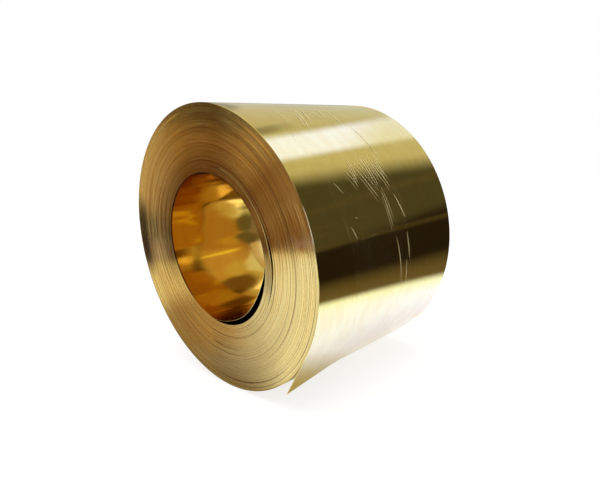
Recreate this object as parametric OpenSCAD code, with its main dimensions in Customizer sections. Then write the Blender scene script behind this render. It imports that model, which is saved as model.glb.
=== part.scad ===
// Coil of polished brass strip, held shut by a band of clear film.
// The origin is under the middle of the coil, on the surface that it lies on.
// +X runs along the axis of the coil, from the end that shows the loose strip to the other end.

/* [Strip] */
// Width of the strip, which is how long the coil is
strip_w = 400; // [200:10:600]
// Thickness of the strip
strip_t = 1; // [0.8:0.1:1.6]

/* [Winding] */
// Diameter of the mandrel that the strip was wound on
bore_d = 300; // [250:10:508]
// Turns of strip in the coil
turns = 134; // [90:1:180]
// How far the bore lies to the side of the middle of the outside
bore_side = 4.5; // [0:0.5:6]
// How far the bore lies above the middle of the outside
bore_up = 7.5; // [0:0.5:9]
// Turns that lie flush together before the next step on an end
turns_a_step = 4; // [3:1:8]
// Depth of the steps, which is how far the turns wander along the axis
step_depth = 1.2; // [0.4:0.2:3]

/* [Loose inner end] */
// Widest gap behind the innermost turn, which has sprung inwards
spring_gap = 11.5; // [5:0.5:16]
// Direction of the widest part of that gap, seen along +X from +Y
spring_mid = 230; // [200:5:260]
// Part of the circle that the sprung stretch covers
spring_span = 110; // [90:5:120]

/* [Slit between turns] */
// Widest opening of the slit
slit_w = 4; // [1:0.5:6]
// Turns of strip inside the slit
slit_turns = 21; // [12:1:40]
// Direction of the widest part of the slit
slit_mid = 163; // [140:1:180]
// Part of the circle that the slit covers
slit_span = 120; // [80:5:150]

/* [Outer end] */
// Direction of the cut end of the strip, seen along +X from +Y
tail_end = 235; // [215:1:250]
// Length of strip that stands off the coil at the free corner
tail_free = 109; // [70:1:130]
// Length of strip that stands off the coil under the film
tail_held = 57; // [20:1:65]

/* [Film band] */
// Distance of the film from the near end
film_from_end = 80; // [40:1:120]
// Width of the film
film_w = 180; // [60:1:260]
// Thickness of the layers of film together
film_t = 0.6; // [0.2:0.1:1]
// Air between the film and the strip
film_air = 0.1; // [0.1:0.1:0.3]

/* [Hidden] */
$fn = 180;
through = 1;
bore_r = bore_d / 2;
outer_r = bore_r + turns * strip_t;
build = outer_r - bore_r;
step_r = turns_a_step * strip_t;
steps = ceil(build / step_r);
coil_l = strip_w + step_depth;
film_in_r = outer_r + film_air;
film_out_r = film_in_r + film_t;
// Where the outermost turn becomes the loose end, it starts inside the turn below
tail_root = 3;
tail_bury = 0.6 * strip_t;
tail_skim = 0.1 * strip_t;
// The cut corners are worn back a little from the edges of the strip
tail_trim = 0.4 * strip_t;

// The middle of a turn moves from the bore's middle to the outside's, turn by turn
function turn_mid(r) = [bore_side, bore_up] * (outer_r - r) / build;
// Each step of turns sits at one of three levels along the axis
function step_level(i) = i >= steps - 1 ? 0 : round(1 + 1.2 * sin(i * 137.5)) / 2;
function step_in_r(i) = bore_r + i * step_r;
function step_out_r(i) = min(outer_r, bore_r + (i + 1) * step_r);

// A circle that meets a circle of radius r at both ends of a span, and passes its middle at radius m
function bow_shift(r, m, span) = (m * m - r * r) / (2 * (m - r * cos(span / 2)));
function towards(a) = [cos(a), sin(a)];

module disc(r, mid) {
    translate(mid) circle(r = r);
}

// A circle through the ends of a span of the circle r round the bore, and through radius m at its middle
module bow_disc(r, m, span, mid) {
    shift = bow_shift(r, m, span);
    disc(m - shift, [bore_side, bore_up] + shift * towards(mid));
}

module turn_step(i) {
    difference() {
        disc(step_out_r(i), turn_mid(step_out_r(i)));
        if (i > 0) disc(step_in_r(i), turn_mid(step_in_r(i)));
    }
}

// What the ends lose where a step of turns sits back from them
module end_steps() {
    for (i = [0 : steps - 1]) {
        near_cut = step_depth * step_level(i);
        far_cut = step_depth - near_cut;
        if (near_cut > 0)
            translate([0, 0, -through]) linear_extrude(through + near_cut) turn_step(i);
        if (far_cut > 0)
            translate([0, 0, coil_l - far_cut]) linear_extrude(through + far_cut) turn_step(i);
    }
}

// The space inside the innermost turn, which bows inwards over its sprung stretch
module clear_bore() {
    intersection() {
        disc(bore_r, [bore_side, bore_up]);
        bow_disc(bore_r, bore_r - spring_gap, spring_span, spring_mid);
    }
}

module spring_space() {
    difference() {
        disc(bore_r + strip_t, [bore_side, bore_up]);
        bow_disc(bore_r + strip_t, bore_r + strip_t - spring_gap, spring_span, spring_mid);
    }
}

module slit() {
    slit_r = bore_r + slit_turns * strip_t;
    difference() {
        bow_disc(slit_r, slit_r + slit_w, slit_span, slit_mid);
        disc(slit_r, [bore_side, bore_up]);
    }
}

module wound_turns() {
    difference() {
        cylinder(r = outer_r, h = coil_l);
        translate([0, 0, -through]) linear_extrude(coil_l + 2 * through) {
            clear_bore();
            spring_space();
            slit();
        }
        end_steps();
    }
}

// Length of strip that stands off the coil, at distance x from the near end
function tail_len(x) = tail_held + (tail_free - tail_held) * max(0, 1 - x / film_from_end);

// The loose strip seen from its edge: buried root, where it leaves the coil, and cut end
function tail_line(len, depth) =
    let (leave = tail_end - len / outer_r * 180 / PI)
    let (out = towards(leave), along = [-sin(leave), cos(leave)])
    [
        (outer_r - tail_bury) * towards(leave - tail_root) - depth * out,
        (outer_r - tail_skim - depth) * out,
        (outer_r - tail_skim - depth) * out + len * along
    ];
function tail_section(x) = concat(tail_line(tail_len(x), 0), reverse(tail_line(tail_len(x), strip_t)));
function reverse(list) = [for (i = [len(list) - 1 : -1 : 0]) list[i]];

// The end of the outermost turn, straight where it leaves the coil and most lifted at its near corner
module tail() {
    corner_stations = 8;
    corner_xs = [for (i = [0 : corner_stations]) max(tail_trim, film_from_end * i / corner_stations)];
    xs = concat(corner_xs, [strip_w - tail_trim]);
    n = len(tail_section(0));
    points = [for (x = xs, p = tail_section(x)) [p[0], p[1], x]];
    sides = [for (j = [0 : len(xs) - 2], i = [0 : n - 1], half = [0, 1])
        let (a = j * n + i, b = j * n + (i + 1) % n)
        half == 0 ? [a, b + n, b] : [a, a + n, b + n]];
    near_cap = [for (i = [0 : n - 1]) i];
    far_cap = [for (i = [n - 1 : -1 : 0]) (len(xs) - 1) * n + i];
    polyhedron(points, concat([near_cap], sides, [far_cap]));
}

// A circle drawn out to a peak over the strip's cut end, as a band lies that is stretched over both
module stretched_over(r, peak_r, peak_a) {
    half = acos(r / peak_r);
    circle(r = r);
    polygon([[0, 0], r * towards(peak_a - half), peak_r * towards(peak_a), r * towards(peak_a + half)]);
}

module brass_strip_coil() {
    color([0.80, 0.62, 0.27]) lying() {
        wound_turns();
        tail();
    }
}

module clear_film_band() {
    held_end_r = norm([outer_r, tail_held]);
    held_end_a = tail_end - tail_held / outer_r * 180 / PI + atan(tail_held / outer_r);
    color([0.86, 0.87, 0.82, 0.4]) lying() translate([0, 0, film_from_end]) linear_extrude(film_w)
        difference() {
            stretched_over(film_out_r, held_end_r + 2 * film_air + film_t, held_end_a);
            stretched_over(film_in_r, held_end_r + 2 * film_air, held_end_a);
        }
}

// Lays the coil on its side, with its near end towards -X
module lying() {
    translate([-coil_l / 2, 0, film_out_r]) rotate([90, 0, 90]) children();
}

brass_strip_coil();
clear_film_band();
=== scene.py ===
# %% [markdown]
# A coil of polished brass strip lies on its side on a pale floor. The strip is 1 mm thick and 400 mm
# wide. It is wound 133 times round a 300 mm bore, so a cut through the wall meets 134 layers at most.
# Its inner end has sprung loose, its outer end stands off the coil, and a band of clear film holds it
# down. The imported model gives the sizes. The pieces made here show what the plain solid can't: the
# single turns on the ends, the loose sheets, the folded film and the way that bright rolled brass
# mirrors a room.

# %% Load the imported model
import bmesh
import bpy
import math
import numpy as np
from functools import partial
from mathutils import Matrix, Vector


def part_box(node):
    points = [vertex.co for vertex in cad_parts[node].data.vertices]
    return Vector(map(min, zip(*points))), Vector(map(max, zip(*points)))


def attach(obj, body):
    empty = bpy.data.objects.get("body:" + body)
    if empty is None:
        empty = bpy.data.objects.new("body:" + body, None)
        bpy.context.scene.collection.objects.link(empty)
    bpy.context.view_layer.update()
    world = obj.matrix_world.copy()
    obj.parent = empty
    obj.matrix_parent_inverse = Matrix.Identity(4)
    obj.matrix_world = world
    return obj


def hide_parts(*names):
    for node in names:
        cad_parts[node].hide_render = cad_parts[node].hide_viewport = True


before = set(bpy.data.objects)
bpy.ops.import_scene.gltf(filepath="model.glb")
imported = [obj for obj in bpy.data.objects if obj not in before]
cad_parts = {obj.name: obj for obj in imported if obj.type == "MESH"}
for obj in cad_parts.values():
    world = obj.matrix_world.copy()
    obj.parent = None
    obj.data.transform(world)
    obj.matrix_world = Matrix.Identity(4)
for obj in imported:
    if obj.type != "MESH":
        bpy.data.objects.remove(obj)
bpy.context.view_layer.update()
MM = 0.001

# %% [markdown]
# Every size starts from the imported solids. The coil's own box gives its length, its outer radius and
# the height of its middle, so the looks follow the model if it is packed again at another size. The
# rest are sizes of the winding: strip thickness, bore, and where the two ends of the strip are.
# Angles are in degrees, seen along +X: they start at +Y and turn towards +Z.

# %% Sizes of the coil
coil_low, coil_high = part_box("brass_strip_coil")
NEAR_X, FAR_X = coil_low.x, coil_high.x
COIL_L = FAR_X - NEAR_X
OUTER_R = (coil_high.y - coil_low.y) / 2
MIDDLE_Z = coil_high.z - OUTER_R
STRIP_T = 1.0 * MM
BORE_R = 150.0 * MM
BORE_SHIFT = np.array([4.5, 7.5]) * MM          # the bore's middle, from the outside's middle
INNER_END = 184.0
SPRUNG_TO = 285.0                               # where the sprung turn meets the pack again
OUTER_END = 235.0
TURNS = 133 + (OUTER_END - INNER_END) / 360
PITCH = (OUTER_R - STRIP_T - BORE_R) / TURNS
print(f"coil {COIL_L:.4f} m long, radius {OUTER_R:.4f} m, {TURNS:.2f} turns, {PITCH / MM:.4f} mm apart")

# %% [markdown]
# The camera comes first, because every surface here is a mirror and its look depends on where the
# viewer stands. The place, turn and lens were fitted to the outlines of the two ends of the coil.
# The frame is cut from the side of a wider picture, which is what the shift stands for.

# %% Camera
VIEW_FROM = Vector((-577.25, -903.28, 259.05)) * MM   # from the middle of the near end
YAW, PITCH_DOWN = math.radians(36.096), math.radians(17.230)
camera_data = bpy.data.cameras.new("camera")
camera_data.lens = 31.677
camera_data.sensor_width = 36
camera_data.shift_x, camera_data.shift_y = -0.1931, 0.0667
camera = bpy.data.objects.new("camera", camera_data)
camera.location = Vector((NEAR_X, 0, MIDDLE_Z)) + VIEW_FROM
looks_along = Vector((math.cos(YAW) * math.cos(PITCH_DOWN), math.sin(YAW) * math.cos(PITCH_DOWN),
                      -math.sin(PITCH_DOWN)))
camera.rotation_euler = looks_along.to_track_quat("-Z", "Y").to_euler()
bpy.context.collection.objects.link(camera)
bpy.context.scene.camera = camera
bpy.context.scene.view_settings.view_transform = "Standard"
# The bore passes light on from wall to wall, so mirrored rays may go on for longer than by default
bpy.context.scene.cycles.glossy_bounces = 10
print("camera at", tuple(round(v, 3) for v in camera.location))

# %% [markdown]
# All shaders and node trees here are written with a few helpers. The first turns a colour as it looks
# on a screen into the linear light that Blender adds up. The second adds one node of any kind, and the
# third gives a material or the world an empty tree to add to. The last two are the brushes of this
# scene: one changes a colour into another while some measured value, such as a height or a distance,
# goes from low to high, and one makes a mask where two such values are both in range.


# %% Helpers: a colour, a node, and an empty tree
def linear(hex_colour):
    """The linear RGBA of an sRGB colour written as #rrggbb."""
    parts = [int(hex_colour[i:i + 2], 16) / 255 for i in (1, 3, 5)]
    return tuple(c / 12.92 if c <= 0.04045 else ((c + 0.055) / 1.055) ** 2.4 for c in parts) + (1.0,)


def add_node(tree, kind, settings={}, inputs=()):
    """Adds a node. Settings are its properties, or just its operation. Inputs are values, sockets, or nodes whose
    first shown output is meant: a dict names the sockets, a tuple fills the shown ones in their order."""
    new = tree.nodes.new(kind)
    for name, value in ({"operation": settings} if isinstance(settings, str) else settings).items():
        setattr(new, name, value)
    if isinstance(inputs, dict):
        filled = [(new.inputs[name], value) for name, value in inputs.items()]
    else:
        filled = zip([socket for socket in new.inputs if socket.enabled], inputs)
    for socket, value in filled:
        if isinstance(value, bpy.types.Node):
            value = next(output for output in value.outputs if output.enabled)
        if isinstance(value, bpy.types.NodeSocket):
            tree.links.new(value, socket)
        else:
            socket.default_value = value
    return new


def start_shader(owner):
    """Empties the nodes of a material or a world, and returns what adds a node to them."""
    owner.use_nodes = True
    owner.node_tree.nodes.clear()
    return partial(add_node, owner.node_tree)


# %% Helpers: soft changes of colour, and masks
SMOOTH = {"interpolation_type": "SMOOTHSTEP"}
COLOURS = {"data_type": "RGBA"}
BLACK, WHITE = (0, 0, 0, 1), (1, 1, 1, 1)


def between(add, first, second, value, low, high, share=(0.0, 1.0)):
    """From the first colour to the second while a value goes from low to high. share is how much there is of the
    second colour at low and at high. add adds a node to the tree at hand."""
    amount = add("ShaderNodeMapRange", SMOOTH, (value, low, high, *share))
    return add("ShaderNodeMix", COLOURS, (amount, first, second))


def overlap(add, *ranges):
    """The product of two masks. Each is a value with its low and high, and with what the mask is at either one
    if that isn't 0 and 1."""
    return add("ShaderNodeMath", "MULTIPLY", [add("ShaderNodeMapRange", SMOOTH, one) for one in ranges])


# %% [markdown]
# Bright brass has no look of its own: it shows the room. So the room is part of the material. It
# could be built from cards and lamps, but a world shader is lighter and works from every side. Only
# glossy rays see it: the camera sees a white backdrop, and all other light is an even white. The room
# has a long lamp overhead, a gold wall behind the coil, which is dim near the floor, and a dark side to
# the right of the camera. The lamp and the edge of the dark side are great circles, so each is one dot
# product with a normal. Their places and levels were fitted to bands in the photographed brass.
# The world's Generated coordinate is the direction of the ray, so all measures here run from -1 to 1.

# %% World: directions and light levels
LAMP_PLANE = (-0.494, 0.768, 0.407)
SHADE_PLANE = (-0.072, 0.831, 0.551)
LAMP_HALF_WIDTH = (0.080, 0.165)        # where the lamp starts to fade, and where it ends
GOLD_WALL = (0.66, 0.74, 0.62, 1)
PALE_WALL = (0.66, 0.70, 0.62, 1)
WALL_FOOT = (0.34, 0.30, 0.20, 1)
WALL_PATCH = (0.35, 0.33, 0.22, 1)
DARK_SIDE = (0.076, 0.078, 0.052, 1)
DARK_HORIZON = (0.019, 0.015, 0.012, 1)
DARK_STREAK = (0.13, 0.115, 0.065, 1)
DARK_FAR = (0.060, 0.046, 0.030, 1)
OVERHEAD = (1.05, 1.10, 0.95, 1)
LONG_LAMP = (1.13, 1.52, 3.40, 1)
LAMP_END = (0.94, 1.16, 1.62, 1)
EVEN_LIGHT = 0.75

world = bpy.data.worlds.new("studio")
bpy.context.scene.world = world
add = start_shader(world)
facing = add("ShaderNodeTexCoord").outputs["Generated"]
parts = add("ShaderNodeSeparateXYZ", {}, (facing,)).outputs
lamp_side = add("ShaderNodeVectorMath", "DOT_PRODUCT", (facing, LAMP_PLANE))
shade_side = add("ShaderNodeVectorMath", "DOT_PRODUCT", (facing, SHADE_PLANE))
print("room measured from the lamp's plane and the shade's plane")

# %% World: the gold wall
wall = between(add, GOLD_WALL, PALE_WALL, lamp_side, 0.18, 0.36)
# Two dim panels show near the coil's near end: one beside the lamp, and one at the wall's far edge
PANEL_AT = 0.205
from_panel = add("ShaderNodeMath", "SUBTRACT", (lamp_side, PANEL_AT))
from_panel = add("ShaderNodeMath", "ABSOLUTE", (from_panel,))
near_panel = overlap(add, (from_panel, 0.015, 0.060, 0.52, 0.0), (parts["X"], 0.62, 0.67, 1.0, 0.0))
far_panel = add("ShaderNodeMapRange", SMOOTH, (lamp_side, 0.398, 0.425, 0.0, 0.42))
panels = add("ShaderNodeMath", "ADD", (near_panel, far_panel))
wall = add("ShaderNodeMix", COLOURS, (panels, wall, BLACK))
wall = between(add, WALL_FOOT, wall, parts["Z"], 0.06, 0.20)
patches = add("ShaderNodeTexNoise", {}, {"Vector": facing, "Scale": 7.0, "Detail": 2.0})
wall = between(add, wall, WALL_PATCH, patches, 0.35, 0.75, (0.0, 0.22))
print("gold wall made, with two dim panels")

# %% World: the dark side
# Its darkest part is a foot whose top slopes: it stands higher further along the coil
slope = add("ShaderNodeMapRange", {}, (parts["X"], 0.60, 0.90, 0.13, -0.13))
above_foot = add("ShaderNodeMath", "ADD", (parts["Z"], slope))
dark_side = between(add, DARK_HORIZON, DARK_SIDE, above_foot, -0.01, 0.13)
# Long faint streaks of light break it up
drawn_out = add("ShaderNodeVectorMath", "MULTIPLY", (facing, (1.5, 1.5, 14.0)))
streaks = add("ShaderNodeTexNoise", {}, {"Vector": drawn_out, "Scale": 1.0, "Detail": 2.0})
dark_side = between(add, dark_side, DARK_STREAK, streaks, 0.50, 0.74, (0.0, 0.5))
studio = between(add, dark_side, wall, shade_side, -0.11, 0.13)
print("dark side made")


# %% World: the ceiling, the long lamp, and which rays see what
def by_ray(add, rest, mirrored, camera):
    """Chooses between three shaders: for mirrored rays, for the camera's own rays, and for the rest."""
    seen = add("ShaderNodeLightPath").outputs
    through = add("ShaderNodeMath", "MAXIMUM", (seen["Is Camera Ray"], seen["Is Transmission Ray"]))
    unseen = add("ShaderNodeMixShader", {}, (seen["Is Glossy Ray"], rest, mirrored))
    return add("ShaderNodeMixShader", {}, (through, unseen, camera))


ceiling = between(add, DARK_FAR, OVERHEAD, parts["Z"], 0.60, 0.74)
studio = between(add, studio, ceiling, lamp_side, 0.48, 0.70)
lamp_light = between(add, LONG_LAMP, LAMP_END, parts["X"], 0.715, 0.775)
from_lamp = add("ShaderNodeMath", "ABSOLUTE", (lamp_side,))
studio = between(add, studio, lamp_light, from_lamp, *LAMP_HALF_WIDTH, (1.0, 0.0))
even, mirrored, backdrop = (
    add("ShaderNodeBackground", {}, light) for light in ((WHITE, EVEN_LIGHT), (studio, 1.0), (WHITE, 1.0)))
add("ShaderNodeOutputWorld", {}, (by_ray(add, even, mirrored, backdrop),))
print("world made: white to the camera, a studio to the brass")

# %% [markdown]
# The coil lies on a white sheet. In the brass that sheet ends: past a line to the right of the camera
# and past another beyond the near end the floor is dark, and both edges show in the metal. The sheet
# is burnt out by a lamp beside the coil, dimmer where the loose corner shades it, and warm and shaded
# in front of the near end. The floor is one big plane. Its look for glossy rays is drawn from its own
# Object coordinates, so the edges stay put in every view. It is still a matt surface for them, so that
# the coil's contact shows in the brass. The camera sees plain white with the coil's soft shadow.

# %% Floor
FLOOR_HALF = 45.0
floor_mesh = bpy.data.meshes.new("floor")
floor_mesh.from_pydata([(-FLOOR_HALF, -FLOOR_HALF, 0), (FLOOR_HALF, -FLOOR_HALF, 0),
                        (FLOOR_HALF, FLOOR_HALF, 0), (-FLOOR_HALF, FLOOR_HALF, 0)], [], [(0, 1, 2, 3)])
floor = bpy.data.objects.new("floor", floor_mesh)
bpy.context.collection.objects.link(floor)
paper = bpy.data.materials.new("white_paper_sheet")
add = start_shader(paper)
spot = add("ShaderNodeTexCoord").outputs["Object"]
spot_x, spot_y, _ = add("ShaderNodeSeparateXYZ", {}, (spot,)).outputs
print("floor laid,", 2 * FLOOR_HALF, "m wide")


# %% Lines on the floor
def beyond_line(add, spot, point_a, point_b):
    """Distance in metres past a line on the floor, on its left as seen from a to b. The points are in mm from the
    middle of the near end."""
    a, b = np.array(point_a) * MM, np.array(point_b) * MM
    along = (b - a) / np.linalg.norm(b - a)
    normal = (float(-along[1]), float(along[0]), 0.0)
    offset = normal[0] * (a[0] + NEAR_X) + normal[1] * a[1]
    across = add("ShaderNodeVectorMath", "DOT_PRODUCT", (spot, normal))
    return add("ShaderNodeMath", "SUBTRACT", (across, float(offset)))


past_line = partial(beyond_line, add, spot)
# The edges of the white sheet
past_right = past_line((318, -530), (684, -378))
past_near = past_line((-766, 750), (-440, 1085))
on_sheet = add("ShaderNodeMapRange", SMOOTH, (past_right, -0.035, 0.055))
past_left = add("ShaderNodeMapRange", SMOOTH, (past_near, -0.050, 0.035, 1.0, 0.0))
print("two edges of the white sheet drawn")

# %% The sheet beside the coil: lit by the lamp further out, and shaded near the loose corner
SHEET_GLOW = (0.69, 0.75, 0.84, 1)
SHADED_GLOW = (0.33, 0.32, 0.18, 1)
SHEET_MATT = (0.38, 0.40, 0.40, 1)
SHADED_MATT = (0.30, 0.29, 0.15, 1)
LAMPLIT_SHEET = (0.12, 0.45, 2.20, 1)
beside = (spot_x, NEAR_X - 0.10, NEAR_X + 0.02)
lamplit = overlap(add, (spot_y, -0.32, -0.10, 1.0, 0.0), beside)
shaded = overlap(add, (past_line((148, -227), (308, -122)), 0.0, 0.10), beside)
sheet = add("ShaderNodeMix", {"data_type": "RGBA", "blend_type": "ADD"}, (lamplit, SHEET_GLOW, LAMPLIT_SHEET))
sheet = add("ShaderNodeMix", COLOURS, (shaded, sheet, SHADED_GLOW))
sheet_matt = add("ShaderNodeMix", COLOURS, (shaded, SHEET_MATT, SHADED_MATT))
print("sheet beside the coil made")

# %% The sheet in front of the near end: the coil's shade fans out to the left from its foot
FRONT_SHEET = (1.12, 1.34, 1.60, 1)
FRONT_WARM = (1.20, 0.96, 0.62, 1)
FRONT_FAR = (0.92, 0.88, 0.60, 1)
COIL_SHADE = (0.19, 0.13, 0.06, 1)
SHADE_FOOT = 0.17                       # the fan starts this far to the right of the coil's middle
SHADE_SLOPE = 0.95                      # and ends at this much forward for each metre to the left
left_of_foot = add("ShaderNodeMath", "ADD", (spot_y, SHADE_FOOT))
left_of_foot = add("ShaderNodeMath", "MAXIMUM", (left_of_foot, 0.001))
ahead = add("ShaderNodeMath", "SUBTRACT", (NEAR_X, spot_x))
steep = add("ShaderNodeMath", "DIVIDE", (ahead, left_of_foot))
warm = overlap(add, (spot_y, 0.05, 0.30), (steep, 0.38, 0.62, 1.0, 0.0))
front = add("ShaderNodeMix", COLOURS, (warm, FRONT_SHEET, FRONT_WARM))
out_of_shade = add("ShaderNodeMapRange", {}, (steep, 0.0, SHADE_SLOPE))
front = add("ShaderNodeMix", COLOURS, (out_of_shade, COIL_SHADE, front))
front = between(add, front, FRONT_FAR, spot_y, 0.50, 0.74)
in_front = add("ShaderNodeMapRange", SMOOTH, (spot_x, NEAR_X - 0.03, NEAR_X + 0.03, 1.0, 0.0))
sheet = add("ShaderNodeMix", COLOURS, (in_front, sheet, front))
sheet_matt = add("ShaderNodeMix", COLOURS, (in_front, sheet_matt, BLACK))
print("sheet in front made")

# %% Past the sheet on the right, where it yellows towards its edge
RIGHT_DARK = (0.020, 0.016, 0.012, 1)
RIGHT_DIM = (0.16, 0.14, 0.075, 1)
YELLOWED = (1, 1, 0.62, 1)
dark_floor = between(add, RIGHT_DARK, RIGHT_DIM, past_right, -0.50, 0.00)
at_edge = add("ShaderNodeMapRange", SMOOTH, (past_right, 0.02, 0.14, 1.0, 0.0))
sheet = add("ShaderNodeMix", {"data_type": "RGBA", "blend_type": "MULTIPLY"}, (at_edge, sheet, YELLOWED))
print("dark floor on the right made")

# %% Past the sheet on the left: gold, brown and nearly black floor, crossed by a pale slat
LEFT_BROWN = (0.25, 0.142, 0.07, 1)
LEFT_DARK = (0.065, 0.042, 0.022, 1)
LEFT_GOLD = (0.56, 0.41, 0.16, 1)
LEFT_FAR = (0.055, 0.036, 0.020, 1)
SLAT = (0.85, 0.80, 0.80, 1)
SLAT_MIDDLE = (NEAR_X - 0.535, 1.230, 0)
SLAT_HALF_SIZE = (0.33, 0.028, 1)
# The gold's edge is a line too, but it softens further out: its distance is divided by how far ahead it is
softer_ahead = add("ShaderNodeMath", "MAXIMUM", (ahead, 0.1))
past_gold = add("ShaderNodeMath", "DIVIDE", (past_line((-1260, 2640), (-10460, 18600)), softer_ahead))
left_floor = between(add, LEFT_GOLD, LEFT_BROWN, past_gold, -0.030, 0.006)
left_floor = between(add, LEFT_DARK, left_floor, past_line((-890, 1815), (-1030, 2350)), -0.035, 0.030)
too_far = overlap(add, (past_line((-9500, 14000), (-25000, 40000)), -0.3, 0.4), (spot_y, 15.0, 21.0))
left_floor = add("ShaderNodeMix", COLOURS, (too_far, left_floor, LEFT_FAR))
on_slat = add("ShaderNodeMapping", {"vector_type": "TEXTURE"}, {
    "Vector": spot, "Location": SLAT_MIDDLE, "Rotation": (0, 0, math.radians(117)), "Scale": SLAT_HALF_SIZE})
on_slat = add("ShaderNodeVectorMath", "LENGTH", (on_slat,))
left_floor = between(add, left_floor, SLAT, on_slat, 0.55, 1.15, (1.0, 0.0))
print("floor on the left made, with its slat")

# %% Floor shader
CAMERA_GLOW = 0.78                      # with the light that the pale matt gives back, this comes out white
mirror_light = add("ShaderNodeMix", COLOURS, (on_sheet, dark_floor, sheet))
mirror_light = add("ShaderNodeMix", COLOURS, (past_left, left_floor, mirror_light))
covered = add("ShaderNodeMath", "MULTIPLY", (on_sheet, past_left))
mirror_matt = add("ShaderNodeMix", COLOURS, (covered, BLACK, sheet_matt))
mirrored = add("ShaderNodeAddShader", {}, (
    add("ShaderNodeBsdfDiffuse", {}, (mirror_matt,)), add("ShaderNodeEmission", {}, (mirror_light, 1.0))))
matt = add("ShaderNodeBsdfDiffuse", {}, ((0.80, 0.80, 0.80, 1),))
seen_white = add("ShaderNodeAddShader", {}, (
    add("ShaderNodeBsdfDiffuse", {}, ((0.30, 0.30, 0.30, 1),)), add("ShaderNodeEmission", {}, (WHITE, CAMERA_GLOW))))
add("ShaderNodeOutputMaterial", {}, (by_ray(add, matt, mirrored, seen_white),))
floor_mesh.materials.append(paper)
print("floor made, with its mirrored edges")

# %% [markdown]
# The bore is a tube of mirrors: it shows what stands behind the coil, three and four times over. The
# photograph's bore has a bright spot, a gold sheen, a thin streak and a dark corner there. A reflector
# card behind the far end gives that. It is a disc little wider than the coil, so only the bore and the
# far end see it. Its picture is a few soft ellipses of light and shade, laid one over the other.

# %% Card behind the bore
CARD_R = 0.32
CARD_GAP = 0.10                         # from the far end
CARD_EDGES = 48
card_mesh = bpy.data.meshes.new("reflector_card")
card_turns = [2 * math.pi * i / CARD_EDGES for i in range(CARD_EDGES)]
card_mesh.from_pydata([(0.0, CARD_R * math.cos(a), CARD_R * math.sin(a)) for a in card_turns], [],
                      [tuple(range(CARD_EDGES))])
card = bpy.data.objects.new("reflector_card", card_mesh)
card.location = (FAR_X + CARD_GAP, 0.0, MIDDLE_Z)
bpy.context.collection.objects.link(card)
card.visible_camera = card.visible_diffuse = card.visible_shadow = card.visible_transmission = False
print("card stands", CARD_GAP, "m behind the far end")

# %% Light and shade on the card
CARD_LOW, CARD_HIGH = (1.06, 0.94, 0.72, 1), (0.80, 0.62, 0.37, 1)
# Y and Z of the middle, half the width and height, turn in degrees, and colour
CARD_LIGHTS = [
    (0.104, 0.074, 0.088, 0.089, 0, (1.01, 0.87, 0.40, 1)),     # gold wall
    (-0.112, 0.069, 0.122, 0.163, 0, (1.10, 1.23, 1.37, 1)),    # pale wall
    (-0.105, 0.076, 0.082, 0.042, 0, (2.86, 3.80, 8.00, 1)),    # window in it
    (-0.035, 0.000, 0.035, 0.142, 0, (1.41, 1.98, 4.21, 1)),    # upright lamp
    (0.012, 0.059, 0.067, 0.061, 0, (0.24, 0.30, 0.40, 1)),     # grey stand between the walls
    (-0.221, -0.078, 0.143, 0.158, 0, (0.32, 0.25, 0.17, 1)),   # dim lower corner
    (-0.314, 0.038, 0.088, 0.067, 0, (0.17, 0.13, 0.06, 1)),    # dark side of the room
    (-0.032, -0.135, 0.082, 0.075, 0, (1.10, 1.18, 0.95, 1)),   # pale sheet
    (0.200, -0.096, 0.170, 0.014, -27, (1.90, 2.30, 0.90, 1)),  # thin slanted lamp
]
card_look = bpy.data.materials.new("reflector_card")
add = start_shader(card_look)
on_card = add("ShaderNodeTexCoord").outputs["Object"]
card_height = add("ShaderNodeSeparateXYZ", {}, (on_card,)).outputs["Z"]
light = between(add, CARD_LOW, CARD_HIGH, card_height, -0.08, 0.00)
for y, z, half_y, half_z, turned, colour in CARD_LIGHTS:
    there = add("ShaderNodeMapping", {"vector_type": "TEXTURE"}, {
        "Vector": on_card, "Location": (0, y, z), "Rotation": (math.radians(turned), 0, 0),
        "Scale": (1, half_y, half_z)})
    off_middle = add("ShaderNodeVectorMath", "LENGTH", (there,))
    light = between(add, light, colour, off_middle, 0.72, 1.12, (1.0, 0.0))
glow = add("ShaderNodeEmission", {}, (light, 1.0))
add("ShaderNodeOutputMaterial", {}, (glow,))
card_mesh.materials.append(card_look)
print(len(CARD_LIGHTS), "soft ellipses on the card")

# %% [markdown]
# One broad lamp above the coil gives the soft shadow. It is hidden from glossy rays, because the
# world already holds the lamp that shows in the brass.

# %% Soft lamp
lamp_data = bpy.data.lights.new("soft_lamp", "AREA")
lamp_data.shape = "SQUARE"
lamp_data.size = 2.2
lamp_data.energy = 36
lamp = bpy.data.objects.new("soft_lamp", lamp_data)
lamp.location = (-0.3, -0.4, 2.6)
lamp.rotation_euler = (Vector((0, 0, 0.2)) - lamp.location).to_track_quat("-Z", "Y").to_euler()
lamp.visible_glossy = False
bpy.context.collection.objects.link(lamp)
print("lamp made")

# %% [markdown]
# Rolled brass strip, CW508L, is two parts copper to one of zinc. Rolling between polished rolls makes
# it nearly a mirror, and leaves hairlines that all run along the strip. Bare metal takes its colour
# from its reflection, so the base colour is brass's own tint at a straight look, metallic is 1, and
# the IOR stays as it is. The hairlines are noise stretched along the strip: 0.4 mm apart across it
# and 80 mm long, which is coarser than real ones so that they show. They read the UV map that each
# sheet gets here, which counts metres along the strip and across it. In the bore the tint is darker,
# which is painted shade for the hollow, and its waves run across the strip.

# %% Brass, bright rolled
HAIRLINE_SIZE = (80 * MM, 0.4 * MM)
HAIRLINE_HEIGHT = 0.0012 * MM
TARNISH_SIZE = (60 * MM, 20 * MM)
FLAT_NOISE = {"noise_dimensions": "2D"}


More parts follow.
